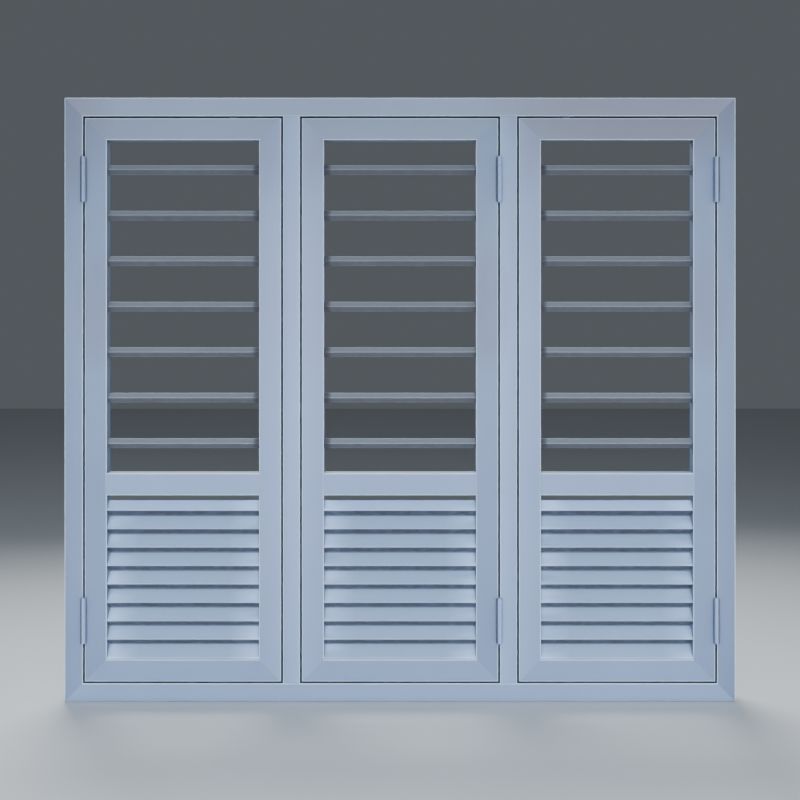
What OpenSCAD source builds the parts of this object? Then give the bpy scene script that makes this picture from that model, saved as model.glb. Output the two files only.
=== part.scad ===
// Steel window of three side-hung sashes in one welded frame. Each sash has a
// barred opening above a louvred panel. Millimetres, +Z up, front facing -Y.
// The origin is the middle of the sill's underside.

/* [Window] */
// Width over the frame
window_w = 1524; // [1400:1:1700]
// Height over the frame
window_h = 1372; // [1250:1:1500]

/* [Frame] */
// Face width of the head, the sill and the jambs
frame_face = 42; // [38:1:48]
// Face width of a mullion
mullion_face = 39; // [34:1:46]
// Depth of the stop behind the sashes
stop_depth = 25; // [22:1:40]
// How far the stop stands into the opening
stop_w = 15; // [12:1:18]
// Sheet thickness of the frame
frame_wall = 1.5; // [1.2:0.1:2]
// Outer radius of the folded edges of frame and sashes
edge_r = 2.5; // [2.2:0.1:3]

/* [Fixings] */
// Diameter of a fixing hole in the frame's outer wall
fixing_d = 8.5; // [6.5:0.5:10.5]
// Diameter of the access hole in the rebate behind a fixing hole
access_d = 16; // [14:1:20]
// Distance of the jamb fixings from the top and bottom of the frame
jamb_fixing_end = 343; // [290:1:420]
// Distance of the head fixings from the sides of the frame
head_fixing_end = 381; // [300:1:450]

/* [Sashes] */
// Gap between a sash and the frame, all round
sash_gap = 4; // [3.8:0.1:5]
// Gap between the back of a sash and the stop
stop_gap = 2; // [1:0.5:3]
// Face width of the sash tube
tube_face = 50; // [46:1:56]
// Depth of the sash tube
tube_depth = 38; // [37:1:45]
// Wall of the sash tube
tube_wall = 1.5; // [1.2:0.1:2]
// Height of the opening that the louvres fill
louvre_h = 373; // [340:1:410]

/* [Grille] */
// Number of bars in a sash
bar_count = 7; // [5:1:8]
// Width across the flats of a square bar
bar_side = 16; // [12:0.5:18]
// Distance from a rail to the middle of the bar next to it
bar_end = 66.6; // [50:0.1:80]
// How far a bar runs into the tube past its wall
bar_tail = 6; // [4:0.5:10]
// Clearance round a bar in its punched hole
bar_fit = 0.3; // [0.1:0.05:0.5]

/* [Louvres] */
// Number of blades in a sash
blade_count = 9; // [7:1:9]
// Sheet thickness of a blade
blade_t = 1.2; // [0.8:0.1:1.5]
// Slope of a blade's plate above level, in degrees
blade_slope = 45; // [43:1:50]
// Height from a blade's nose to its top edge
blade_rise = 33; // [28:0.5:34]
// Height of the lip below a blade's nose
lip_drop = 11; // [8:0.5:13]
// Lean of the lip from upright, in degrees
lip_lean = 50; // [40:1:55]
// Inner radius of the fold at a blade's nose
nose_r = 1.5; // [1:0.1:2]
// Setback of the noses behind the sash's face
nose_setback = 3; // [2.5:0.5:4]
// Height of the lowest blade's lip, which stands on the bottom rail
sill_lip = 4; // [3:0.5:8]
// Height from the top blade's nose to its top edge, which is cut short
top_rise = 20; // [16:0.5:26]
// Height of the slot between the top blade and the middle rail
top_slot = 14; // [8:0.5:18]

/* [Hinges] */
// Length of a hinge
hinge_l = 102; // [90:1:110]
// Distance from a sash's end to the middle of a hinge
hinge_end = 140; // [110:1:160]
// Outer diameter of the knuckles
knuckle_d = 13; // [12:0.5:14]
// Number of knuckles in a hinge
knuckle_count = 5; // [3:2:7]
// Gap between knuckles, and between a knuckle and the faces behind it
knuckle_gap = 0.4; // [0.3:0.05:0.6]
// Thickness of a leaf
leaf_t = 1.6; // [1.2:0.1:1.7]
// How far a leaf reaches back from the window's face
leaf_reach = 30; // [24:1:34]
// Diameter of a hinge pin
pin_d = 6; // [5:0.5:7]
// Running clearance round a hinge pin
pin_fit = 0.05; // [0.02:0.01:0.1]
// Diameter of the head on each end of a pin
pin_head_d = 9; // [8:0.5:11]
// Height of a pin's head
pin_head_h = 1.5; // [1:0.25:3]

/* [Bolts] */
// Diameter of a bolt rod
rod_d = 10; // [8:0.5:11]
// How far a bolt shoots
rod_throw = 20; // [16:1:22]
// Gap between a drawn bolt and the stop below it
rod_lift = 3; // [2:0.5:6]
// Clearance round a rod in its guides
rod_fit = 0.3; // [0.2:0.05:0.5]
// Clearance round a rod in the sill
socket_fit = 0.5; // [0.3:0.1:1]
// Distance from a sash's outer edge to the middle of its bolt and handle
fitting_inset = 32; // [30:0.5:33]
// Distance from the sash's back to the middle of a rod
rod_stand = 11; // [10:0.5:13]
// Width of a bolt's base plate
plate_w = 26; // [25:0.5:28]
// Length of a bolt's base plate
plate_l = 160; // [155:1:180]
// Thickness of a bolt's base plate
plate_t = 2; // [1.5:0.1:3]
// Distance from a drawn bolt's tip to its base plate
plate_above_tip = 10; // [6:1:14]
// Height of a guide loop
guide_h = 14; // [10:1:16]
// Wall of a guide loop round the rod
guide_wall = 2.7; // [2:0.1:3]
// Width of the web that carries a guide loop
guide_web = 12; // [8:1:13]
// Distance from the base plate's ends to the end guides
guide_end = 6; // [4:0.5:10]
// Room between the knob of a shot bolt and the guide below it
knob_room = 4; // [2:0.5:6]
// Diameter of the knob
knob_d = 12; // [10:0.5:14]
// Thickness of the knob
knob_t = 6; // [4:0.5:8]
// Diameter of the knob's neck
neck_d = 6; // [5:0.5:7]
// Distance from the middle of the rod to the knob's outer face
knob_reach = 19; // [16:0.5:24]
// Length of the tapered tip of a rod
tip_l = 3; // [2:0.5:5]

/* [Handles] */
// Height of the middle of a handle
handle_z = 640; // [600:1:700]
// Outside length of a handle's bow
handle_l = 120; // [100:1:150]
// Distance from the sash's back to the outer face of a handle
handle_stand = 34; // [28:1:40]
// Width of a handle's strap
strap_w = 16; // [14:0.5:20]
// Thickness of a handle's strap
strap_t = 4; // [3:0.5:5]
// Outer radius of a handle's bends
strap_r = 9; // [6:0.5:12]
// Length of a handle's feet
foot_l = 18; // [16:1:24]

/* [Screws] */
// Diameter of a screw's shank
screw_d = 4; // [3:0.5:4.5]
// Clearance round a screw in its hole
screw_fit = 0.15; // [0.1:0.05:0.3]
// Length of a screw under its head
screw_l = 9; // [7:1:14]
// Diameter of a screw's head
screw_head_d = 7; // [6:0.5:7.5]
// Height of a screw's head
screw_head_h = 2.2; // [1.5:0.1:3]
// Distance of the bolt's screws from the middle of its plate, across
plate_screw_x = 9; // [8.5:0.25:9.5]
// Distance of the bolt's screws from the ends of its plate
plate_screw_end = 32; // [30:1:40]

/* [Hidden] */
$fn = 48;
paint = [0.62, 0.68, 0.75];
paint_light = [0.67, 0.72, 0.79];
zinc = [0.72, 0.73, 0.75];
// Cutters reach this far past the faces that they open
over = 1;

rebate_depth = tube_depth + stop_gap;
frame_depth = rebate_depth + stop_depth;
front_y = -frame_depth / 2;
stop_face = frame_face + stop_w;

SASHES = ["left", "centre", "right"];
right_hung = [false, true, true];
sash_count = len(SASHES);
mullions_w = (sash_count - 1) * mullion_face;
sash_w = (window_w - 2 * frame_face - mullions_w - 2 * sash_count * sash_gap) / sash_count;
sash_pitch = sash_w + 2 * sash_gap + mullion_face;
sash_bottom = frame_face + sash_gap;
sash_top = window_h - sash_bottom;
sash_h = sash_top - sash_bottom;

light_w = sash_w - 2 * tube_face;
louvre_bottom = sash_bottom + tube_face;
louvre_top = louvre_bottom + louvre_h;
light_bottom = louvre_top + tube_face;
light_top = sash_top - tube_face;

bar_y = tube_depth / 2;
bar_l = light_w + 2 * (tube_wall + bar_tail);
bar_pitch = (light_top - light_bottom - 2 * bar_end) / (bar_count - 1);

// Flats that make up the fold at a blade's nose
fold_steps = 6;
nose_bottom = louvre_bottom + sill_lip;
nose_top = louvre_top - top_slot - top_rise;
blade_pitch = (nose_top - nose_bottom) / (blade_count - 1);

hinge_x = -sash_w / 2 - sash_gap / 2;
hinge_y = -knuckle_d / 2 - knuckle_gap;
hinge_z = [sash_bottom + hinge_end, sash_top - hinge_end];
knuckle_l = (hinge_l - (knuckle_count - 1) * knuckle_gap) / knuckle_count;
// Knuckles of even number belong to the frame's leaf, the others to the sash's
FRAME_LEAF = 0;
SASH_LEAF = 1;

fitting_x = sash_w / 2 - fitting_inset;
tip_z = stop_face + rod_lift;
plate_z = tip_z + plate_above_tip;
// A drawn rod ends flush with the top of its base plate
rod_l = plate_above_tip + plate_l;
knob_z = plate_above_tip + guide_end + guide_h + knob_room + rod_throw + knob_d / 2;
guide_z = [guide_end, (plate_l - guide_h) / 2, plate_l - guide_end - guide_h];
plate_screw_z = [plate_screw_end, plate_l - plate_screw_end];
foot_screw_z = handle_l / 2 + foot_l / 2;

FRAME_NODES = ["frame_head", "frame_sill", "frame_jamb_left", "frame_jamb_right",
    "mullion_left", "mullion_right"];
SASH_NODES = ["hinge_stile", "lock_stile", "top_rail", "middle_rail", "bottom_rail",
    "grille_bars", "louvre_blades", "hinge_frame_leaves", "hinge_sash_leaves", "hinge_pins",
    "bolt_base", "bolt_rod", "pull_handle", "fitting_screws"];

// Middle of a sash, across the window
function sash_x(i) = (i - (sash_count - 1) / 2) * sash_pitch;

// Places children from a sash's own frame: x from its middle with the hinges
// at -x, y from the window's face, z from the sill's underside
module at_sash(i) {
    translate([sash_x(i), front_y, 0])
        mirror([right_hung[i] ? 1 : 0, 0, 0])
            children();
}

// What has to come off a square corner to leave a fold of radius r
module corner_cut(corner, inward, r) {
    difference() {
        translate(corner + (r - over) / 2 * inward)
            square(r + over, center = true);
        translate(corner + r * inward)
            circle(r);
    }
}

// A rectangle with folded corners, set in by a wall's thickness
module folded_rectangle(w, d, inset) {
    r = edge_r - inset;
    difference() {
        translate([inset, inset])
            square([w - 2 * inset, d - 2 * inset]);
        corner_cut([inset, inset], [1, 1], r);
        corner_cut([w - inset, inset], [-1, 1], r);
        corner_cut([w - inset, d - inset], [-1, -1], r);
        corner_cut([inset, d - inset], [1, -1], r);
    }
}

module tube_section() {
    difference() {
        folded_rectangle(tube_face, tube_depth, 0);
        folded_rectangle(tube_face, tube_depth, tube_wall);
    }
}

// Outline of the rebated frame section: the outer face at x = 0, the front at y = 0
module rebate_outline(inset) {
    r = edge_r - inset;
    stop_x = stop_face - inset;
    back_y = frame_depth - inset;
    difference() {
        union() {
            translate([inset, inset])
                square([frame_face - 2 * inset, frame_depth - 2 * inset]);
            translate([inset, rebate_depth + inset])
                square([stop_face - 2 * inset, stop_depth - 2 * inset]);
        }
        corner_cut([inset, inset], [1, 1], r);
        corner_cut([frame_face - inset, inset], [-1, 1], r);
        corner_cut([stop_x, rebate_depth + inset], [-1, 1], r);
        corner_cut([stop_x, back_y], [-1, -1], r);
        corner_cut([inset, back_y], [1, -1], r);
    }
}

module frame_section() {
    difference() {
        rebate_outline(0);
        rebate_outline(frame_wall);
    }
}

// Outline of the T-shaped mullion section, about its middle
module mullion_outline(inset) {
    r = edge_r - inset;
    face_x = mullion_face / 2 - inset;
    flange_x = mullion_face / 2 + stop_w - inset;
    flange_y = rebate_depth + inset;
    back_y = frame_depth - inset;
    difference() {
        union() {
            translate([-face_x, inset])
                square([2 * face_x, frame_depth - 2 * inset]);
            translate([-flange_x, flange_y])
                square([2 * flange_x, stop_depth - 2 * inset]);
        }
        for (side = [-1, 1]) {
            corner_cut([side * face_x, inset], [-side, 1], r);
            corner_cut([side * flange_x, flange_y], [-side, 1], r);
            corner_cut([side * flange_x, back_y], [-side, -1], r);
        }
    }
}

module mullion_section() {
    difference() {
        mullion_outline(0);
        mullion_outline(frame_wall);
    }
}

// Lays a section's extrusion along X, with the section's x standing up
module along_x(length) {
    rotate([0, -90, 0])
        linear_extrude(length, center = true)
            children();
}

// Keeps what lies within an outline of the front view
module mitred(outline, depth) {
    intersection() {
        children();
        rotate([90, 0, 0])
            linear_extrude(2 * depth, center = true)
                polygon(outline);
    }
}

module frame_upright() {
    inner_x = stop_face - window_w / 2;
    outline = [[-window_w / 2, 0], [inner_x, stop_face],
        [inner_x, window_h - stop_face], [-window_w / 2, window_h]];
    mitred(outline, frame_depth)
        translate([-window_w / 2, front_y, 0])
            linear_extrude(window_h)
                frame_section();
}

module frame_level() {
    inner_x = window_w / 2 - stop_face;
    outline = [[-window_w / 2, 0], [window_w / 2, 0], [inner_x, stop_face], [-inner_x, stop_face]];
    mitred(outline, frame_depth)
        translate([0, front_y, 0])
            along_x(window_w)
                frame_section();
}

// A fixing hole through the outer wall, with its access hole through the rebate wall.
// The hole starts at the origin and runs along +Z into the member.
module fixing_cut() {
    translate([0, 0, -over])
        cylinder(d = fixing_d, h = frame_face / 2 + over);
    translate([0, 0, frame_face / 2])
        cylinder(d = access_d, h = frame_face / 2 + over);
}

module frame_jamb() {
    difference() {
        frame_upright();
        for (z = [jamb_fixing_end, window_h - jamb_fixing_end])
            translate([-window_w / 2, front_y + rebate_depth / 2, z])
                rotate([0, 90, 0])
                    fixing_cut();
    }
}

module frame_jamb_left() {
    color(paint) frame_jamb();
}

module frame_jamb_right() {
    color(paint) mirror([1, 0, 0]) frame_jamb();
}

module frame_head() {
    fixing_x = window_w / 2 - head_fixing_end;
    color(paint)
        translate([0, 0, window_h])
            mirror([0, 0, 1])
                difference() {
                    frame_level();
                    for (side = [-1, 1])
                        translate([side * fixing_x, front_y + rebate_depth / 2, 0])
                            fixing_cut();
                }
}

module frame_sill() {
    color(paint)
        difference() {
            frame_level();
            for (i = [0:sash_count - 1])
                at_sash(i)
                    translate([fitting_x, tube_depth + rod_stand, stop_face - 2 * frame_wall])
                        cylinder(d = rod_d + 2 * socket_fit, h = 2 * frame_wall + over);
        }
}

// Number of the mullion from the left, coped over the head's and the sill's rebates
module mullion(number) {
    outline = [[0, frame_face], [rebate_depth, frame_face], [rebate_depth, stop_face],
        [frame_depth, stop_face], [frame_depth, window_h - stop_face],
        [rebate_depth, window_h - stop_face], [rebate_depth, window_h - frame_face],
        [0, window_h - frame_face]];
    x = (sash_x(number) + sash_x(number + 1)) / 2;
    color(paint_light)
        translate([x, front_y, 0])
            intersection() {
                linear_extrude(window_h)
                    mullion_section();
                rotate([90, 0, 90])
                    linear_extrude(2 * stop_face, center = true)
                        polygon(outline);
            }
}

module mullion_left() {
    mullion(0);
}

module mullion_right() {
    mullion(1);
}

// The stile on the hinge side, before its holes
module stile() {
    edge_x = -sash_w / 2;
    outline = [[edge_x, sash_bottom], [edge_x + tube_face, louvre_bottom],
        [edge_x + tube_face, light_top], [edge_x, sash_top]];
    difference() {
        mitred(outline, frame_depth)
            translate([edge_x, 0, sash_bottom])
                linear_extrude(sash_h)
                    tube_section();
        bar_row(bar_side + 2 * bar_fit, bar_l + 2 * bar_fit);
    }
}

module hinge_stile(i) {
    color(paint) at_sash(i) stile();
}

module lock_stile(i) {
    color(paint)
        at_sash(i)
            difference() {
                mirror([1, 0, 0]) stile();
                at_plate_screws() screw_hole(2 * tube_wall);
                at_foot_screws() screw_hole(2 * tube_wall);
            }
}

// The bottom rail, or the top rail when turned over
module end_rail() {
    inner_x = light_w / 2;
    outline = [[-sash_w / 2, sash_bottom], [sash_w / 2, sash_bottom],
        [inner_x, louvre_bottom], [-inner_x, louvre_bottom]];
    mitred(outline, frame_depth)
        translate([0, 0, sash_bottom])
            along_x(sash_w)
                tube_section();
}

module top_rail(i) {
    color(paint)
        at_sash(i)
            translate([0, 0, window_h])
                mirror([0, 0, 1])
                    end_rail();
}

module bottom_rail(i) {
    color(paint) at_sash(i) end_rail();
}

module middle_rail(i) {
    color(paint_light)
        at_sash(i)
            translate([0, 0, louvre_top])
                along_x(light_w)
                    tube_section();
}

// Square bars set on edge, one above the other
module bar_row(side, length) {
    for (k = [0:bar_count - 1])
        translate([0, bar_y, light_bottom + bar_end + k * bar_pitch])
            rotate([45, 0, 0])
                cube([length, side, side], center = true);
}

module grille_bars(i) {
    color(paint) at_sash(i) bar_row(bar_side, bar_l);
}

function unit(angle) = [cos(angle), sin(angle)];

function arc(r, from, to) =
    [for (k = [0:fold_steps]) r * unit(from + (to - from) * k / fold_steps)];

// Section of a blade about the middle of its nose fold: x to the back, y up
module blade_section(rise, drop, lean) {
    fold_r = nose_r + blade_t;
    run_l = (rise - fold_r * cos(blade_slope)) / sin(blade_slope);
    lip_l = (drop - fold_r * sin(lean)) / cos(lean);
    plate_side = 90 + blade_slope;
    lip_side = 180 + lean;
    plate_run = run_l * unit(blade_slope);
    lip_run = lip_l * unit(lean - 90);
    outside = arc(fold_r, plate_side, lip_side);
    inside = arc(nose_r, lip_side, plate_side);
    polygon(concat(
        [outside[0] + plate_run], outside, [outside[fold_steps] + lip_run],
        [inside[0] + lip_run], inside, [inside[fold_steps] + plate_run]));
}

module blade(nose_z, rise, drop, lean) {
    translate([0, nose_setback + nose_r + blade_t, nose_z])
        rotate([90, 0, 90])
            linear_extrude(light_w, center = true)
                blade_section(rise, drop, lean);
}

// The lowest blade's lip stands upright on the bottom rail, and the top blade clears the middle rail
module louvre_blades(i) {
    color(paint_light)
        at_sash(i) {
            blade(nose_bottom, blade_rise, sill_lip, 0);
            for (k = [1:blade_count - 2])
                blade(nose_bottom + k * blade_pitch, blade_rise, lip_drop, lip_lean);
            blade(nose_top, top_rise, lip_drop, lip_lean);
        }
}

module at_hinges() {
    for (z = hinge_z)
        translate([hinge_x, hinge_y, z])
            children();
}

// The knuckles of one leaf, about the hinge's middle
module knuckles(leaf, d, gap) {
    for (k = [leaf:2:knuckle_count - 1])
        translate([0, 0, -hinge_l / 2 + k * (knuckle_l + knuckle_gap) - gap])
            cylinder(d = d, h = knuckle_l + 2 * gap);
}

// A leaf lies in the gap, from the pin back along the face that it is welded to
module hinge_leaf(leaf, face_x) {
    difference() {
        union() {
            knuckles(leaf, knuckle_d, 0);
            translate([face_x, 0, -hinge_l / 2])
                cube([leaf_t, leaf_reach - hinge_y, hinge_l]);
        }
        knuckles(1 - leaf, knuckle_d + 2 * knuckle_gap, knuckle_gap);
        cylinder(d = pin_d + 2 * pin_fit, h = hinge_l + 2 * over, center = true);
    }
}

module hinge_frame_leaves(i) {
    color(paint) at_sash(i) at_hinges() hinge_leaf(FRAME_LEAF, -sash_gap / 2);
}

module hinge_sash_leaves(i) {
    color(paint) at_sash(i) at_hinges() hinge_leaf(SASH_LEAF, sash_gap / 2 - leaf_t);
}

module hinge_pins(i) {
    color(zinc)
        at_sash(i)
            at_hinges() {
                cylinder(d = pin_d, h = hinge_l + 2 * pin_head_h, center = true);
                for (side = [0, 1])
                    mirror([0, 0, side])
                        translate([0, 0, hinge_l / 2])
                            cylinder(d1 = pin_head_d, d2 = pin_d, h = pin_head_h);
            }
}

// Places children at the bolt's base plate, with z along the rod
module at_plate() {
    translate([fitting_x, tube_depth, plate_z])
        children();
}

module bolt_base(i) {
    loop_d = rod_d + 2 * guide_wall;
    color(zinc)
        at_sash(i)
            difference() {
                at_plate() {
                    translate([-plate_w / 2, 0, 0])
                        cube([plate_w, plate_t, plate_l]);
                    for (z = guide_z)
                        translate([0, 0, z])
                            linear_extrude(guide_h) {
                                translate([-guide_web / 2, 0])
                                    square([guide_web, rod_stand]);
                                translate([0, rod_stand])
                                    circle(d = loop_d);
                            }
                }
                at_plate()
                    translate([0, rod_stand, -over])
                        cylinder(d = rod_d + 2 * rod_fit, h = plate_l + 2 * over);
                at_plate_screws() screw_hole(plate_t);
            }
}

module bolt_rod(i) {
    color(zinc)
        at_sash(i)
            translate([fitting_x, tube_depth + rod_stand, tip_z]) {
                cylinder(d1 = rod_d - tip_l, d2 = rod_d, h = tip_l);
                translate([0, 0, tip_l])
                    cylinder(d = rod_d, h = rod_l - tip_l);
                translate([0, 0, knob_z])
                    rotate([-90, 0, 0]) {
                        cylinder(d = neck_d, h = knob_reach);
                        translate([0, 0, knob_reach - knob_t])
                            cylinder(d = knob_d, h = knob_t);
                    }
            }
}

// Side view of the handle's bent strap: x out from the sash, y along the stile
module strap_outline() {
    half = handle_l / 2;
    room = half - strap_t;
    crown = handle_stand - strap_t;
    inner_r = strap_r - strap_t;
    difference() {
        union() {
            translate([0, -half])
                square([handle_stand, handle_l]);
            translate([0, -half - foot_l])
                square([strap_t, handle_l + 2 * foot_l]);
        }
        for (side = [-1, 1])
            corner_cut([handle_stand, side * half], [-1, -side], strap_r);
        difference() {
            translate([-over, -room])
                square([crown + over, 2 * room]);
            for (side = [-1, 1])
                corner_cut([crown, side * room], [-1, -side], inner_r);
        }
    }
}

module pull_handle(i) {
    color(zinc)
        at_sash(i)
            difference() {
                translate([fitting_x, tube_depth, handle_z])
                    rotate([90, 0, 90])
                        linear_extrude(strap_w, center = true)
                            strap_outline();
                at_foot_screws() screw_hole(strap_t);
            }
}

// Places children at the bolt's screws, on the sash's back, with z out of the sash
module at_plate_screws() {
    for (x = [-plate_screw_x, plate_screw_x])
        for (z = plate_screw_z)
            translate([fitting_x + x, tube_depth, plate_z + z])
                rotate([-90, 0, 0])
                    children();
}

// Places children at the handle's screws in the same way
module at_foot_screws() {
    for (z = [-foot_screw_z, foot_screw_z])
        translate([fitting_x, tube_depth, handle_z + z])
            rotate([-90, 0, 0])
                children();
}

// Cuts to this depth on both sides of the sash's back
module screw_hole(depth) {
    cylinder(d = screw_d + 2 * screw_fit, h = 2 * depth + over, center = true);
}

// A screw whose head sits on a strip of this thickness
module screw(strip_t) {
    translate([0, 0, strip_t - screw_l])
        cylinder(d = screw_d, h = screw_l);
    translate([0, 0, strip_t])
        cylinder(d1 = screw_head_d, d2 = screw_d, h = screw_head_h);
}

module fitting_screws(i) {
    color(zinc)
        at_sash(i) {
            at_plate_screws() screw(plate_t);
            at_foot_screws() screw(strap_t);
        }
}

frame_head();
frame_sill();
frame_jamb_left();
frame_jamb_right();
mullion_left();
mullion_right();
for (i = [0:sash_count - 1]) {
    name = SASHES[i];
    hinge_stile(i);
    lock_stile(i);
    top_rail(i);
    middle_rail(i);
    bottom_rail(i);
    grille_bars(i);
    louvre_blades(i);
    hinge_frame_leaves(i);
    hinge_sash_leaves(i);
    hinge_pins(i);
    bolt_base(i);
    bolt_rod(i);
    pull_handle(i);
    fitting_screws(i);
}
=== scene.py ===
import bpy
import bmesh
import math
import random
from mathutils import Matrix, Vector


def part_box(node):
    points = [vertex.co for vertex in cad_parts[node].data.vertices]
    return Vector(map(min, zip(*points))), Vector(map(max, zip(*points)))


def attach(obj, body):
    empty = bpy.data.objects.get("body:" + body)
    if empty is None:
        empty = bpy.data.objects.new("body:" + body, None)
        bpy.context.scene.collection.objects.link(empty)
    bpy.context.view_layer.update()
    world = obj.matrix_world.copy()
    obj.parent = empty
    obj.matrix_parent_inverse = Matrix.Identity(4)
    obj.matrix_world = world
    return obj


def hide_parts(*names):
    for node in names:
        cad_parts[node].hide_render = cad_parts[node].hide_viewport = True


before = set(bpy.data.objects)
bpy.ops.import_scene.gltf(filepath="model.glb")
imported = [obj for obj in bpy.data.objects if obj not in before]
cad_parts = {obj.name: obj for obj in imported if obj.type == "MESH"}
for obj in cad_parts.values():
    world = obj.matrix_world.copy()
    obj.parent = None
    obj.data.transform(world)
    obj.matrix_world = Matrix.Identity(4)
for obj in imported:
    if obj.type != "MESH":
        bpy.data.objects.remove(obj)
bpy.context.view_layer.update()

SASHES = ("left", "centre", "right")


# How a finish is put together

EDGE_SAMPLES = 4
CORNER_SAMPLES = 6


class Shade:
    """A socket of a finish. Arithmetic on it adds Math nodes to the finish."""

    def __init__(self, finish, socket):
        self.finish = finish
        self.socket = socket

    def combine(self, operation, first, second, clamp=False):
        settings = {"operation": operation, "use_clamp": clamp}
        return self.finish.node("ShaderNodeMath", settings, {0: first, 1: second})

    def __add__(self, other):
        return self.combine("ADD", self, other)

    def __radd__(self, other):
        return self.combine("ADD", other, self)

    def __sub__(self, other):
        return self.combine("SUBTRACT", self, other)

    def __rsub__(self, other):
        return self.combine("SUBTRACT", other, self)

    def __mul__(self, other):
        return self.combine("MULTIPLY", self, other)

    def __rmul__(self, other):
        return self.combine("MULTIPLY", other, self)

    def __truediv__(self, other):
        return self.combine("DIVIDE", self, other)

    def __pow__(self, other):
        return self.combine("POWER", self, other)

    def larger(self, other):
        return self.combine("MAXIMUM", self, other)

    def held(self):
        """The same value, kept between 0 and 1."""
        return self.combine("ADD", self, 0.0, clamp=True)

    def ramp(self, start, gain):
        """0 up to the start, then rising by the gain to 1."""
        return ((self - start) * gain).held()


class Finish:
    """A material under construction."""

    def __init__(self, name):
        self.material = bpy.data.materials.new(name)
        self.material.use_nodes = True
        self.tree = self.material.node_tree
        self.tree.nodes.clear()

    def node(self, kind, settings=None, inputs=None, out=0):
        """Adds a node and hands back one of its outputs."""
        made = self.tree.nodes.new(kind)
        for key, value in (settings or {}).items():
            setattr(made, key, value)
        for key, value in (inputs or {}).items():
            self.feed(made.inputs[key], value)
        return Shade(self, made.outputs[out])

    def feed(self, socket, value):
        if isinstance(value, Shade):
            self.tree.links.new(value.socket, socket)
        else:
            socket.default_value = value

    def parts(self, vector):
        """The X, Y and Z of a vector."""
        return [self.node("ShaderNodeSeparateXYZ", None, {"Vector": vector}, out=axis)
                for axis in "XYZ"]

    def mapped(self, place, **changes):
        """A place that is shifted or scaled."""
        return self.node("ShaderNodeMapping", None, {"Vector": place, **changes})

    def blend(self, amount, first, second):
        """A colour between two colours."""
        settings = {"data_type": "RGBA", "clamp_factor": True}
        return self.node("ShaderNodeMix", settings, {0: amount, 6: first, 7: second}, out=2)

    def grain(self, place, scale, detail=2.0, roughness=0.5):
        """Noise from 0 to 1, of so many lumps to the metre."""
        values = {"Vector": place, "Scale": scale, "Detail": detail, "Roughness": roughness}
        return self.node("ShaderNodeTexNoise", None, values, out="Fac")

    def round_edges(self, radius):
        """The way a surface faces, with its edges rounded off."""
        return self.node("ShaderNodeBevel", {"samples": EDGE_SAMPLES}, {"Radius": radius})

    def open_air(self, distance):
        """1 where a surface lies open, less in a corner or a gap of that size."""
        settings = {"samples": CORNER_SAMPLES}
        return self.node("ShaderNodeAmbientOcclusion", settings, {"Distance": distance}, out="AO")

    def relief(self, height, strength, depth, facing):
        """Small unevenness on a surface."""
        values = {"Strength": strength, "Distance": depth, "Height": height, "Normal": facing}
        return self.node("ShaderNodeBump", None, values)

    def close(self, **inputs):
        """Ends the finish in one shader with these inputs."""
        shader = self.tree.nodes.new("ShaderNodeBsdfPrincipled")
        for key, value in inputs.items():
            self.feed(shader.inputs[key.replace("_", " ")], value)
        end = self.tree.nodes.new("ShaderNodeOutputMaterial")
        self.tree.links.new(shader.outputs[0], end.inputs["Surface"])
        return self.material


def scaled(colour, tone=1.0):
    """A colour made lighter or darker, as a shader takes it."""
    return tuple(min(1.0, part * tone) for part in colour) + (1.0,)


def tint(colour, gains):
    """A colour with each part scaled by its own gain."""
    return tuple(part * gain for part, gain in zip(colour, gains))


def uneven(grain, spread):
    """An amount that varies with a grain: the least of it, and how much more there can be."""
    least, more = spread
    return least + more * grain


# Satin enamel, as linear colour

# The blue-grey coat, and the greyer coats of the head, the blades and the grille bars. The head's
# coat, also on the top rails, is partly painted shade at the top; the bars' coat is darker, partly
# painted shade where they sit back in the sash
ENAMEL = (0.218, 0.289, 0.460)
HEAD_COAT = (0.253, 0.311, 0.443)
BLADE_COAT = (0.252, 0.345, 0.525)
BAR_COAT = (0.152, 0.166, 0.188)
# The painted highlight on folds and edges, the dust and painted shade in corners, the painted
# shade on undersides, hinge flanks and bar ends, and the darker painted shade deep in a gap
HIGHLIGHT_COAT = (0.70, 0.79, 0.90)
DUST_AND_SHADE = (0.10, 0.115, 0.145)
SHADE_COAT = (0.064, 0.060, 0.072)
GAP_SHADE = (0.048, 0.053, 0.062)
# A faint mauve bloom in the coat, and the greyer tint of the patches of painted shade
BLOOM = (1.17, 1.0, 0.96)
PATCH_SHADE = (0.90, 0.77, 0.73)

# Grain of the coat: lumps to the metre, detail and roughness
CLOUDS = (3.1, 4.0, 0.55)
STREAKS = (46.0, 3.0)
BLOOM_SPOTS = (2.3, 3.0)
BLADE_SPOTS = (1.0, 2.0)
PEEL = (620.0, 2.0, 0.45)
SPECKS = (1500.0, 1.0)
# Streaks are long downwards, the spots on the blades lie along them, and the bloom lies
# apart from the clouds
STREAK_SCALE = (1.0, 1.0, 0.12)
BLADE_SPOT_SCALE = (5.0, 1.0, 26.0)
BLOOM_SHIFT = (3.0, 1.0, 5.0)

# The coat itself
CLOUD_TONES = (0.93, 1.08)
CLOUD_CONTRAST = 1.6
STREAK_TONE, STREAK_FROM, STREAK_AMOUNT = 1.25, 0.42, 0.22
BLOOM_RAMP, BLOOM_AMOUNT = (0.5, 2.4), 0.5
# How far the painted light and shade across a piece goes, either way
LEAN_LIMIT = 0.4
# The core of each patch of painted shade, and how much the clouds vary it
SHADE_PATCH_CORE, SHADE_PATCH_CLOUDS = 1.25, (0.75, 0.5)
# Edges, folds and corners: painted highlights, and dust with painted shade
EDGE_RADIUS = 0.0006
EDGE_GAIN = 4.0
CORNER_REACH, CORNER_CURVE = 0.022, 1.6
DUST_AND_SHADE_AMOUNT, DUST_AND_SHADE_STREAKS = 0.85, (0.5, 0.9)
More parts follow.
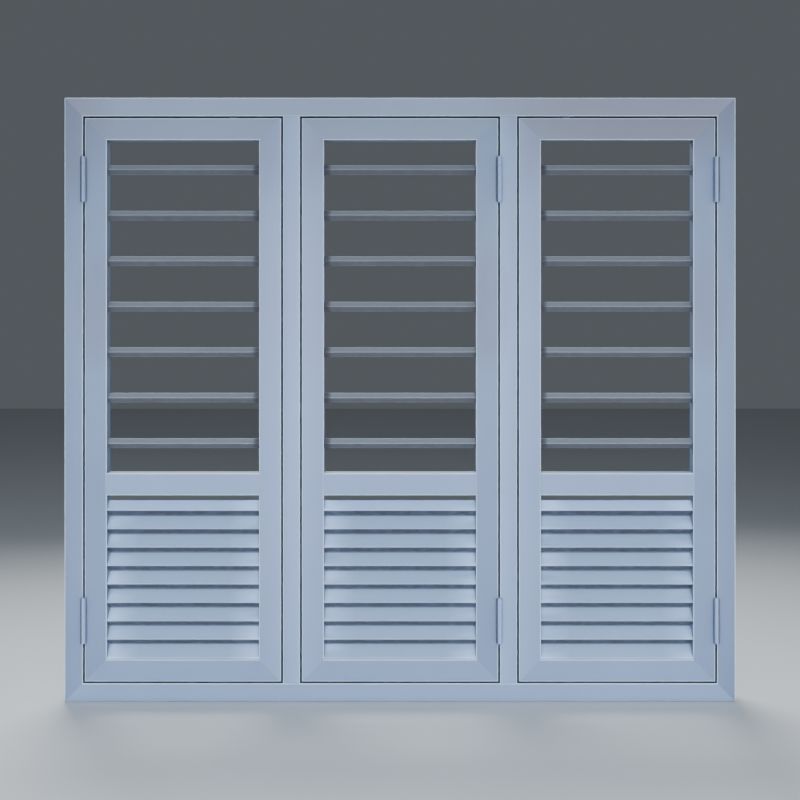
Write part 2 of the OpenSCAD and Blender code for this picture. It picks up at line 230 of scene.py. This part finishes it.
# Darker painted shade deep in a gap, as dark as bare primer
GAP_SHADE_RAMP, GAP_SHADE_AMOUNT = (0.5, 3.0), 0.85
# Painted highlights on the folds and along the edges
FOLD_GAIN, FOLD_EDGE, FOLD_CLOUDS = 7.0, 0.2, (0.70, 0.6)
EDGE_HIGHLIGHT_AMOUNT, EDGE_HIGHLIGHT_TONE = 0.8, 0.6
# Blades: painted light at their ends and on the top one, and painted shade deep in, under the
# blade above
END_GAIN, END_FROM, END_AMOUNT = 2.1, 0.75, 0.95
SPOT_RAMP = (0.34, 3.2)
TOP_BLADE_GAIN, TOP_BLADE_AMOUNT = 300.0, 0.42
BLADE_LIGHT_TONE = 1.75
SHELTER_GAIN, SHELTER_TONE, SHELTER_STREAKS = 1200.0, 0.9, (0.6, 0.4)
# Painted shade on undersides and hinge flanks, and painted shadow on the bars' ends
SHADE_COAT_STREAKS = (0.8, 0.4)
UNDERSIDE_GAIN, UNDERSIDE_FROM = 1.4, 0.1
FLANK_GAIN = 4.0
BAR_END_SHADE_LENGTH, BAR_END_SHADE_CORE, BAR_END_SHADE_TONE, BAR_END_SHADE_STREAKS = 0.015, 1.3, 0.8, (0.55, 0.5)
# Surface of the dry coat
PEEL_STRENGTH, PEEL_DEPTH = 0.10, 0.0006
PEEL_SHARE, SPECK_SHARE = 0.8, 0.2
SATIN, SATIN_STREAKS, SATIN_DUST = 0.36, 0.14, 0.10
SATIN_SHINE = 0.28

# Patches of painted shade, darker and greyer, in the top corners and on the hinge stiles, and
# those
# at the tops of the lock stiles: middle, reach across and up, and strength
HINGE_PATCH = (0.05, 0.14), 0.6
LOCK_PATCH = (0.05, 0.17), 0.75
SHADE_PATCHES = (
    ((-0.80, 1.36), (0.14, 0.26), 0.9), ((0.54, 1.34), (0.32, 0.13), 1.0),
    ((-0.69, 0.89), *HINGE_PATCH), ((0.20, 0.89), *HINGE_PATCH), ((0.695, 0.89), *HINGE_PATCH),
)
LOCK_PATCHES = (
    ((-0.30, 1.32), *LOCK_PATCH), ((-0.20, 1.32), *LOCK_PATCH), ((0.295, 1.32), *LOCK_PATCH),
)


class Enamel(Finish):
    """Sprayed satin enamel on sheet steel. Each method adds one thing to the coat: some are its
    own marks, others are painted light and shade.
    """

    def __init__(self, name, colour, edge_radius, highlight_radius, corner_reach):
        super().__init__(name)
        self.colour = colour
        self.place = self.node("ShaderNodeTexCoord", out="Object")
        self.across, self.deep, self.level = self.parts(self.place)
        self.facing = self.node("ShaderNodeTexCoord", out="Normal")
        self.clouds = self.grain(self.place, *CLOUDS)
        self.streaks = self.grain(self.mapped(self.place, Scale=STREAK_SCALE), *STREAKS)
        self.rounded = self.round_edges(edge_radius)
        highlight_round = self.round_edges(highlight_radius)
        flat = self.node("ShaderNodeNewGeometry", out="True Normal")
        along = self.node("ShaderNodeVectorMath", {"operation": "DOT_PRODUCT"},
                          {0: highlight_round, 1: flat}, out="Value")
        self.edge = ((1.0 - along) * EDGE_GAIN).held()
        # The corner mask: dust, and painted shade in corners and gaps
        self.openness = self.open_air(corner_reach)
        closed_in = (1.0 - self.openness) ** CORNER_CURVE
        self.corner = (closed_in * uneven(self.streaks, DUST_AND_SHADE_STREAKS)).held()

    def cover(self, amount, colour, tone=1.0):
        """Lays another colour over the coat, by an amount from 0 to 1."""
        self.coat = self.blend(amount, self.coat, scaled(colour, tone))

    def spray(self):
        """The coat itself, with its clouds, streaks and bloom."""
        thin, thick = CLOUD_TONES
        amount = ((self.clouds - 0.5) * CLOUD_CONTRAST + 0.5).held()
        self.coat = self.blend(amount, scaled(self.colour, thin), scaled(self.colour, thick))
        self.cover((self.streaks - STREAK_FROM) * STREAK_AMOUNT, self.colour, STREAK_TONE)
        bloom = self.grain(self.mapped(self.place, Location=BLOOM_SHIFT), *BLOOM_SPOTS)
        self.cover(bloom.ramp(*BLOOM_RAMP) * BLOOM_AMOUNT, tint(self.colour, BLOOM))

    def paint_shade_patches(self, patches):
        """Patches of painted shade, darker and greyer."""
        for (patch_x, patch_z), (wide, tall), strength in patches:
            aside = (self.across - patch_x) / wide
            above = (self.level - patch_z) / tall
            inside = (SHADE_PATCH_CORE - aside * aside - above * above).held()
            self.cover(inside * uneven(self.clouds, SHADE_PATCH_CLOUDS) * strength,
                       tint(self.colour, PATCH_SHADE))

    def paint_light_across(self, middle_x, gain):
        """Painted light and shade: a coat that gets paler from one side of a piece to the other.
        """
        lean = (self.across - middle_x) * gain
        for limit in (LEAN_LIMIT, -LEAN_LIMIT):
            self.cover((lean / limit).held(), self.colour, 1.0 + limit)

    def paint_blade_light(self, middle_x, half_width, top_z, shelter_y):
        """A bank of blades: painted light at their ends and on the top one, painted shade further
        in.
        """
        aside = (self.across - middle_x) / half_width
        spots = self.grain(self.mapped(self.place, Scale=BLADE_SPOT_SCALE), *BLADE_SPOTS)
        ends = (aside * aside * END_GAIN - END_FROM).held() * spots.ramp(*SPOT_RAMP)
        uppermost = self.level.ramp(top_z, TOP_BLADE_GAIN)
        self.cover(ends * END_AMOUNT + uppermost * TOP_BLADE_AMOUNT,
                   self.colour, BLADE_LIGHT_TONE)
        sheltered = self.deep.ramp(shelter_y, SHELTER_GAIN)
        self.cover(sheltered * uneven(self.streaks, SHELTER_STREAKS), DUST_AND_SHADE, SHELTER_TONE)

    def paint_folds_and_corners(self, dust_and_shade):
        """On square sections: dust and painted shade in the corners, darker painted shade in the
        gaps, a painted highlight on the folds.
        """
        square = self.node("ShaderNodeVectorMath", {"operation": "ABSOLUTE"}, {0: self.facing})
        x, y, z = self.parts(square)
        slant = 1.0 - x.larger(y).larger(z)
        fold_highlight = (slant * FOLD_GAIN + self.edge * FOLD_EDGE).held()
        self.cover(self.corner * dust_and_shade, DUST_AND_SHADE)
        self.cover(self.corner.ramp(*GAP_SHADE_RAMP) * GAP_SHADE_AMOUNT, GAP_SHADE)
        self.cover(fold_highlight * uneven(self.clouds, FOLD_CLOUDS) * self.openness, HIGHLIGHT_COAT)

    def paint_edges_and_corners(self, dust_and_shade):
        """On other forms: a painted highlight along the edges, and dust with painted shade in the
        corners.
        """
        self.cover(self.edge * EDGE_HIGHLIGHT_AMOUNT, HIGHLIGHT_COAT, EDGE_HIGHLIGHT_TONE)
        self.cover(self.corner * dust_and_shade, DUST_AND_SHADE)

    def paint_shade(self, amount, tone=1.0, spread=SHADE_COAT_STREAKS):
        """Painted shade in streaks, in a dark coat."""
        self.cover(amount * uneven(self.streaks, spread), SHADE_COAT, tone)

    # Painted shade on the faces that look down
    def shade_underside(self, amount):
        upward = self.parts(self.facing)[2]
        self.paint_shade((upward * -UNDERSIDE_GAIN - UNDERSIDE_FROM).held() * amount)

    def miss_flanks(self, left, right):
        """Painted shade on a hinge's flanks. Each flank has the sideways turn from which it is
        shaded, and an amount.
        """
        sideways = self.parts(self.facing)[0]
        left_from, left_amount = left
        right_from, right_amount = right
        self.paint_shade(sideways.ramp(-left_from, -FLANK_GAIN) * left_amount
                  + sideways.ramp(right_from, FLANK_GAIN) * right_amount)

    def shade_bar_ends(self, weld_x):
        """Painted shadow on the ends of the bars, where they run into the lock stile."""
        away = (self.across - weld_x) / BAR_END_SHADE_LENGTH
        self.paint_shade((BAR_END_SHADE_CORE - away * away).held(), BAR_END_SHADE_TONE, BAR_END_SHADE_STREAKS)

    def dry(self):
        """The finished coat, with the fine peel of sprayed paint."""
        peel = self.grain(self.place, *PEEL)
        specks = self.grain(self.place, *SPECKS)
        facing = self.relief(peel * PEEL_SHARE + specks * SPECK_SHARE,
                             PEEL_STRENGTH, PEEL_DEPTH, self.rounded)
        roughness = SATIN + SATIN_STREAKS * self.streaks + SATIN_DUST * self.corner
        return self.close(Base_Color=self.coat, Roughness=roughness, Normal=facing,
                          Specular_IOR_Level=SATIN_SHINE)


def enamel(name, colour, patches=SHADE_PATCHES, paler_across=None, bank=None, rolled=True,
           underside_shade=0.0, flanks=None, weld_x=None, edge_radius=EDGE_RADIUS, highlight_radius=None,
           dust_and_shade=DUST_AND_SHADE_AMOUNT, corner_reach=CORNER_REACH):
    """The enamel of one piece. A rolled piece has faces that are square to each other."""
    coat = Enamel(name, colour, edge_radius, highlight_radius or edge_radius, corner_reach)
    coat.spray()
    coat.paint_shade_patches(patches)
    if paler_across:
        coat.paint_light_across(*paler_across)
    if bank:
        coat.paint_blade_light(*bank)
    if rolled:
        coat.paint_folds_and_corners(dust_and_shade)
    else:
        coat.paint_edges_and_corners(dust_and_shade)
    if underside_shade:
        coat.shade_underside(underside_shade)
    if flanks:
        coat.miss_flanks(*flanks)
    if weld_x is not None:
        coat.shade_bar_ends(weld_x)
    return coat.dry()


# Zinc plate on the fittings, and the floor's paint

ZINC = (0.50, 0.51, 0.53)
ZINC_DULL = (0.33, 0.34, 0.36)
ZINC_TARNISH = (0.22, 0.21, 0.20)
SPANGLES = 160.0
BRUSHING, BRUSH_SCALE = (1400.0, 2.0), (1.0, 1.0, 0.02)
BRUSH_STRENGTH, BRUSH_DEPTH = 0.12, 0.0003
ZINC_CLOUDS = (24.0, 3.0)
ZINC_EDGE = 0.0007
TARNISH_REACH, TARNISH_AMOUNT, TARNISH_CLOUDS = 0.008, 0.8, (0.4, 1.0)
ZINC_METALLIC = 0.85
ZINC_ROUGHNESS = (0.34, 0.2)

FLOOR_TONES = (0.56, 0.575, 0.585), (0.61, 0.622, 0.63)
FLOOR_MOTTLE = (1.4, 5.0, 0.6)
FLOOR_ROUGHNESS = (0.62, 0.1)


def zinc_plate(name):
    """Zinc-plated steel: spangled, brushed along its length and dull in the corners."""
    f = Finish(name)
    place = f.node("ShaderNodeTexCoord", out="Object")
    cells = f.node("ShaderNodeTexVoronoi", None, {"Vector": place, "Scale": SPANGLES}, out="Color")
    spangle = f.node("ShaderNodeRGBToBW", None, {"Color": cells})
    brushed = f.grain(f.mapped(place, Scale=BRUSH_SCALE), *BRUSHING)
    clouds = f.grain(place, *ZINC_CLOUDS)
    closed_in = 1.0 - f.open_air(TARNISH_REACH)
    tarnish = (closed_in * uneven(clouds, TARNISH_CLOUDS)).held()
    metal = f.blend((spangle * 0.5 + clouds * 0.5).held(), scaled(ZINC_DULL), scaled(ZINC))
    metal = f.blend(tarnish * TARNISH_AMOUNT, metal, scaled(ZINC_TARNISH))
    facing = f.relief(brushed, BRUSH_STRENGTH, BRUSH_DEPTH, f.round_edges(ZINC_EDGE))
    return f.close(Base_Color=metal, Metallic=ZINC_METALLIC,
                   Roughness=uneven(clouds, ZINC_ROUGHNESS), Normal=facing)


def floor_paint(name):
    """Pale floor paint, faintly mottled."""
    f = Finish(name)
    mottle = f.grain(f.node("ShaderNodeTexCoord", out="Object"), *FLOOR_MOTTLE)
    dark, light = FLOOR_TONES
    colour = f.blend(mottle, scaled(dark), scaled(light))
    return f.close(Base_Color=colour, Roughness=uneven(mottle, FLOOR_ROUGHNESS))


# The finish of each node

# The pieces differ in tone: partly their own tone, partly painted light and shade where the light
# falls unevenly on them
TONES_AND_LIGHT = {
    "frame_head": 0.90, "frame_sill": 0.96, "frame_jamb_left": 0.77, "frame_jamb_right": 0.73,
    "mullion_left": 1.10, "mullion_right": 1.08,
    "hinge_stile": 0.775, "lock_stile": 1.00,
    "top_rail": 0.76, "middle_rail": 0.99, "bottom_rail": 0.88,
    "grille_bars": 1.08, "louvre_blades": 1.0,
    "hinge_frame_leaves": 1.18, "hinge_sash_leaves": 1.18, "hinge_pins": 1.05,
}
BASES = {
    "frame_head": HEAD_COAT, "top_rail": HEAD_COAT,
    "grille_bars": BAR_COAT, "louvre_blades": BLADE_COAT,
}
# The pieces that aren't rolled square, and the lock stiles with their own patches of painted shade
HINGE_PIECES = ("hinge_frame_leaves", "hinge_sash_leaves", "hinge_pins")
# The settings give painted shade on undersides, and dust with painted shade in corners
COATS = {
    "lock_stile": {"patches": SHADE_PATCHES + LOCK_PATCHES},
    "grille_bars": {"underside_shade": 0.8, "rolled": False, "edge_radius": 0.0012, "highlight_radius": 0.0050,
                    "dust_and_shade": 1.2, "corner_reach": 0.014},
    "louvre_blades": {"underside_shade": 1.0, "rolled": False, "edge_radius": 0.0012,
                      "dust_and_shade": 1.6, "corner_reach": 0.010},
    **dict.fromkeys(HINGE_PIECES, {"rolled": False, "dust_and_shade": 0.8, "corner_reach": 0.007}),
}
# Painted shade on the left and the right flank of each sash's hinges: the turn from which it
# starts, and how much
HINGE_FLANK_SHADE = {
    "left": ((0.06, 0.85), (0.72, 0.30)),
    "centre": ((0.40, 0.85), (0.60, 0.30)),
    "right": ((0.66, 0.40), (0.06, 0.85)),
}
# Painted light and shade: how much paler the coat gets across some pieces, from left to right, a
# metre
PAINTED_LIGHT_ACROSS = {
    "frame_jamb_left": 2.4, "frame_jamb_right": -2.4,
    "mullion_left": 4.6, "mullion_right": -4.2,
    "left_lock_stile": 2.4, "centre_lock_stile": -2.4, "right_lock_stile": -2.4,
}
# How far down a bank of blades its top one reaches, and how far in the blades take painted shade
TOP_BLADE_RISE = 0.022
SHELTER_DEPTH = 0.0229
FITTINGS = ("bolt_base", "bolt_rod", "pull_handle", "fitting_screws")


def split_name(node):
    """A node's sash, if it has one, and its piece."""
    for sash in SASHES:
        if node.startswith(sash + "_"):
            return sash, node[len(sash) + 1:]
    return None, node


def middle_of(node):
    """The middle of a node, across."""
    return sum(corner.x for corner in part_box(node)) / 2


def bank_of(node):
    """A sash's blades: their middle, half width, the top one's level and the sheltered depth."""
    low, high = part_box(node)
    half_width = (high.x - low.x) / 2
    return middle_of(node), half_width, high.z - TOP_BLADE_RISE, low.y + SHELTER_DEPTH


def lock_face(sash):
    """Where a sash's bars run into its lock stile."""
    middle = middle_of(sash + "_grille_bars")
    faces = [corner.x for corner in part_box(sash + "_lock_stile")]
    return min(faces, key=lambda x: abs(x - middle))


def coat_of(node):
    """The name, the colour and the settings of the enamel on a node."""
    sash, piece = split_name(node)
    own = {}
    # Painted shade on the hinges' flanks
    if piece in HINGE_PIECES:
        own["flanks"] = HINGE_FLANK_SHADE[sash]
    if piece == "louvre_blades":
        own["bank"] = bank_of(node)
    # The painted shadow on the bars' ends lies at the lock stile
    if piece == "grille_bars":
        own["weld_x"] = lock_face(sash)
    if node in PAINTED_LIGHT_ACROSS:
        own["paler_across"] = middle_of(node), PAINTED_LIGHT_ACROSS[node]
    colour = tuple(part * TONES_AND_LIGHT[piece] for part in BASES.get(piece, ENAMEL))
    return (node if own else piece) + "_enamel", colour, {**COATS.get(piece, {}), **own}


def paint_window():
    """Coats every node, and hands back the finish of each."""
    finishes = {}
    zinc = zinc_plate("zinc_fittings")
    for node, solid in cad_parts.items():
        if split_name(node)[1] in FITTINGS:
            finishes[node] = zinc
        else:
            name, colour, settings = coat_of(node)
            finishes[node] = bpy.data.materials.get(name) or enamel(name, colour, **settings)
        solid.data.materials.clear()
        solid.data.materials.append(finishes[node])
    return finishes


# Pieces added here: weld beads behind the bars and under the blades, and cross-driven screws

SAME_POINT = 1e-6
SAME_LEVEL = 1e-5
LEVEL_DIGITS = 5

BEAD_SIDES = 8
BEAD_PITCH = 0.32
BEAD_LEAST_STEPS = 6
RIPPLE, RIPPLE_TURN, RIPPLE_WANDER = 0.18, 1.25, 0.05
BEAD_END, BEAD_TAPER, BEAD_LEAST = 0.06, 0.45, 0.12
BAR_BEAD = 0.0019
BLADE_BEAD = 0.0014
# Where a bead starts and ends: in half heights from a bar's back corner, and in metres from
# the back edge of a blade
BAR_BEAD_RUN = (0.04, 0.72)
BLADE_BEAD_RUN = (0.0015, 0.0110)

HEAD_SIDES = 24
HEAD_RINGS = 5
HEAD_RIM = 0.98
HEAD_CROWN = 0.62
HEAD_SKIRT = 0.25
CROSS_ARM = 0.56
CROSS_WIDTH = 0.17
CROSS_TAPER = 0.6
CROSS_DEPTH = 0.7


def place_of(solid):
    """The level of a solid's middle, then its place across."""
    return tuple(round(sum(corner[axis] for corner in solid) / len(solid), LEVEL_DIGITS)
                 for axis in (2, 0))


def islands(node):
    """The solids of a node, from the lowest up, each as a list of its corners."""
    mesh = bmesh.new()
    mesh.from_mesh(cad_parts[node].data)
    bmesh.ops.remove_doubles(mesh, verts=mesh.verts, dist=SAME_POINT)
    waiting = dict.fromkeys(mesh.verts)
    found = []
    while waiting:
        reached = [waiting.popitem()[0]]
        for corner in reached:
            for edge in corner.link_edges:
                other = edge.other_vert(corner)
                if other in waiting:
                    del waiting[other]
                    reached.append(other)
        found.append([corner.co.copy() for corner in reached])
    mesh.free()
    return sorted(found, key=place_of)


def reach(solid, axis):
    """How far a solid reaches along an axis."""
    values = [corner[axis] for corner in solid]
    return min(values), max(values)


def add_piece(name, mesh, material, body):
    """Turns a mesh into a piece that rides on a body."""
    data = bpy.data.meshes.new(name)
    bmesh.ops.recalc_face_normals(mesh, faces=mesh.faces)
    mesh.to_mesh(data)
    mesh.free()
    data.materials.append(material)
    piece = bpy.data.objects.new(name, data)
    bpy.context.collection.objects.link(piece)
    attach(piece, body)
    return piece


def circle(sides):
    """The corners of a circle of radius 1."""
    turns = (2 * math.pi * j / sides for j in range(sides))
    return [(math.cos(turn), math.sin(turn)) for turn in turns]


def join_rings(mesh, rings, smooth=False):
    """Faces between each ring of corners and the next."""
    for low, high in zip(rings, rings[1:]):
        for j in range(len(low)):
            n = (j + 1) % len(low)
            mesh.faces.new((low[j], low[n], high[n], high[j])).smooth = smooth


def lay_bead(mesh, start, end, radius, hand):
    """A run of weld from start to end: overlapping ripples, thin at both ends."""
    run = end - start
    across = run.orthogonal().normalized()
    beside = run.cross(across).normalized()
    steps = max(BEAD_LEAST_STEPS, round(run.length / (radius * BEAD_PITCH)))
    rings = []
    for k in range(steps + 1):
        part = k / steps
        ripple = 1.0 - RIPPLE + RIPPLE * abs(math.sin(k * RIPPLE_TURN))
        ripple += hand.uniform(-RIPPLE_WANDER, RIPPLE_WANDER)
        taper = math.sin(math.pi * (BEAD_END + (1 - 2 * BEAD_END) * part)) ** BEAD_TAPER
        size = radius * ripple * max(BEAD_LEAST, taper)
        middle = start + run * part
        rings.append([mesh.verts.new(middle + size * (a * across + b * beside))
                      for a, b in circle(BEAD_SIDES)])
    join_rings(mesh, rings, smooth=True)
    mesh.faces.new(rings[0][::-1])
    mesh.faces.new(rings[-1])


def weld_bars(sash, stile_faces, material):
    """Two short beads behind each end of a bar, from its back corner up and down."""
    hand = random.Random(sash + "bars")
    mesh = bmesh.new()
    for bar in islands(sash + "_grille_bars"):
        back = reach(bar, 1)[1]
        low, high = reach(bar, 2)
        level = (low + high) / 2
        half = (high - low) / 2
        for face in stile_faces:
            for way in (1, -1):
                start, end = (Vector((face, back - share * half, level + way * share * half))
                              for share in BAR_BEAD_RUN)
                lay_bead(mesh, start, end, BAR_BEAD, hand)
    add_piece(sash + "_bar_welds", mesh, material, "sash_" + sash)


def weld_blades(sash, stile_faces, material):
    """A bead under each end of a blade's plate, near its back edge."""
    hand = random.Random(sash + "blades")
    mesh = bmesh.new()
    for blade in islands(sash + "_louvre_blades"):
        back = reach(blade, 1)[1]
        edge = min(corner.z for corner in blade if corner.y > back - SAME_LEVEL)
        for face in stile_faces:
            start, end = (Vector((face, back - inset, edge - inset)) for inset in BLADE_BEAD_RUN)
            lay_bead(mesh, start, end, BLADE_BEAD, hand)
    add_piece(sash + "_blade_welds", mesh, material, "sash_" + sash)


def cross_outline(radius):
    """The outline of the cross recess in a screw head of that radius."""
    arm, width = radius * CROSS_ARM, radius * CROSS_WIDTH
    quarter = [(arm, width), (width, width), (width, arm)]
    outline = list(quarter)
    for _ in range(3):
        quarter = [(-z, x) for x, z in quarter]
        outline += quarter
    return outline


def turn_screw(mesh, solid):
    """A pan-headed screw with a cross recess in place of a plain one, its head to the back."""
    middle_x, middle_z = (sum(reach(solid, axis)) / 2 for axis in (0, 2))
    foot, top = reach(solid, 1)

    def from_axis(corner):
        return math.hypot(corner.x - middle_x, corner.z - middle_z)

    def ring(outline, size, depth):
        return [mesh.verts.new((middle_x + size * x, depth, middle_z + size * z))
                for x, z in outline]

    def edges_round(corners, find):
        pairs = zip(corners, corners[1:] + corners[:1])
        return [find(pair) for pair in pairs]

    radius = max(from_axis(corner) for corner in solid)
    seat = max(corner.y for corner in solid if from_axis(corner) > radius * HEAD_RIM)
    shank = min(from_axis(corner) for corner in solid if corner.y < foot + SAME_LEVEL)
    rise = top - seat
    around = circle(HEAD_SIDES)
    rings = [ring(around, shank, foot), ring(around, shank, seat), ring(around, radius, seat)]
    for k in range(1, HEAD_RINGS + 1):
        turn = math.pi / 2 * k / HEAD_RINGS
        size = radius * (HEAD_CROWN + (1.0 - HEAD_CROWN) * math.cos(turn))
        depth = seat + rise * (HEAD_SKIRT + (1.0 - HEAD_SKIRT) * math.sin(turn))
        rings.append(ring(around, size, depth))
    join_rings(mesh, rings)
    mesh.faces.new(rings[0])
    cross = cross_outline(radius)
    mouth = ring(cross, 1.0, top)
    floor = ring(cross, CROSS_TAPER, top - CROSS_DEPTH * rise)
    rim = edges_round(rings[-1], mesh.edges.get)
    lips = edges_round(mouth, mesh.edges.new)
    bmesh.ops.triangle_fill(mesh, edges=rim + lips, use_beauty=True)
    join_rings(mesh, [floor, mouth])
    mesh.faces.new(floor)


def fit_screws(sash, material):
    """Cross-driven screws in place of a sash's plain ones."""
    mesh = bmesh.new()
    node = sash + "_fitting_screws"
    for solid in islands(node):
        turn_screw(mesh, solid)
    screws = add_piece(sash + "_cross_screws", mesh, material, "sash_" + sash)
    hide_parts(node)


def dress_sashes(finishes):
    """Adds the welds and the screws of each sash, in the finish of what they sit on."""
    for sash in SASHES:
        stiles = (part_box(sash + "_hinge_stile"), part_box(sash + "_lock_stile"))
        left, right = sorted(stiles, key=lambda ends: ends[0].x)
        stile_faces = (left[1].x, right[0].x)
        weld_bars(sash, stile_faces, finishes[sash + "_grille_bars"])
        weld_blades(sash, stile_faces, finishes[sash + "_louvre_blades"])
        fit_screws(sash, finishes[sash + "_fitting_screws"])


# The room: a pale floor, soft lights and the camera

FLOOR_HALF = 9.0
FLOOR_DROP = 0.0005

SKY, SKY_STRENGTH = (0.76, 0.85, 0.94), 0.12
WINDOW_MIDDLE = (0.0, 0.0, 0.65)
# Each lamp's name, place, aim, size, power, colour and spread in degrees
LAMPS = (
    ("front_wash", (-0.05, -3.6, 1.12), (-0.12, 0.0, 0.30),
     (5.0, 1.2), 60.0, (0.80, 0.90, 1.0), 66.0),
    ("high_key", (-0.6, -2.3, 3.2), WINDOW_MIDDLE, (3.2, 1.4), 22.0, (0.88, 0.94, 1.0), 180.0),
    ("side_key", (3.6, -1.5, 1.3), WINDOW_MIDDLE, (0.9, 1.6), 10.0, (1.0, 0.99, 0.97), 100.0),
    ("back_wash", (-0.5, 2.5, 2.8), (0.0, 0.0, 0.60), (3.0, 1.2), 48.0, (0.96, 0.98, 1.0), 80.0),
)

# Width of the photograph at the window's face, where the face sits in it, and the eye
PHOTO_WIDTH = 1.8164
FACE_MIDDLE_Z = 0.6856
EYE_Z = 0.88
EYE_DISTANCE = 2.9
SENSOR_WIDTH = 36.0


def lay_floor():
    mesh = bpy.data.meshes.new("studio_floor")
    corners = [(x * FLOOR_HALF, y * FLOOR_HALF, 0.0)
               for x, y in ((-1, -1), (1, -1), (1, 1), (-1, 1))]
    mesh.from_pydata(corners, [], [(0, 1, 2, 3)])
    mesh.materials.append(floor_paint("studio_floor"))
    floor = bpy.data.objects.new("studio_floor", mesh)
    floor.location.z = -FLOOR_DROP
    bpy.context.collection.objects.link(floor)


def soft_light(name, place, aim, size, power, colour, spread):
    """A rectangular lamp at a place, turned to its aim."""
    lamp = bpy.data.lights.new(name, "AREA")
    lamp.shape = "RECTANGLE"
    lamp.size, lamp.size_y = size
    lamp.energy = power
    lamp.color = colour
    lamp.spread = math.radians(spread)
    light = bpy.data.objects.new(name, lamp)
    light.location = place
    light.rotation_euler = (Vector(aim) - Vector(place)).to_track_quat("-Z", "Y").to_euler()
    bpy.context.collection.objects.link(light)


def light_room():
    world = bpy.data.worlds.new("studio")
    world.use_nodes = True
    sky = world.node_tree.nodes["Background"]
    sky.inputs["Color"].default_value = scaled(SKY)
    sky.inputs["Strength"].default_value = SKY_STRENGTH
    bpy.context.scene.world = world
    for lamp in LAMPS:
        soft_light(*lamp)


def set_camera():
    """A level camera, shifted so that the window's face sits as in the photograph."""
    face_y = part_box("frame_sill")[0].y
    lens = bpy.data.cameras.new("camera")
    lens.sensor_width = SENSOR_WIDTH
    lens.lens = SENSOR_WIDTH * EYE_DISTANCE / PHOTO_WIDTH
    lens.shift_y = (FACE_MIDDLE_Z - EYE_Z) / PHOTO_WIDTH
    camera = bpy.data.objects.new("camera", lens)
    camera.location = (0.0, face_y - EYE_DISTANCE, EYE_Z)
    camera.rotation_euler = (math.pi / 2, 0.0, 0.0)
    bpy.context.collection.objects.link(camera)
    bpy.context.scene.camera = camera


set_camera()
lay_floor()
light_room()
dress_sashes(paint_window())
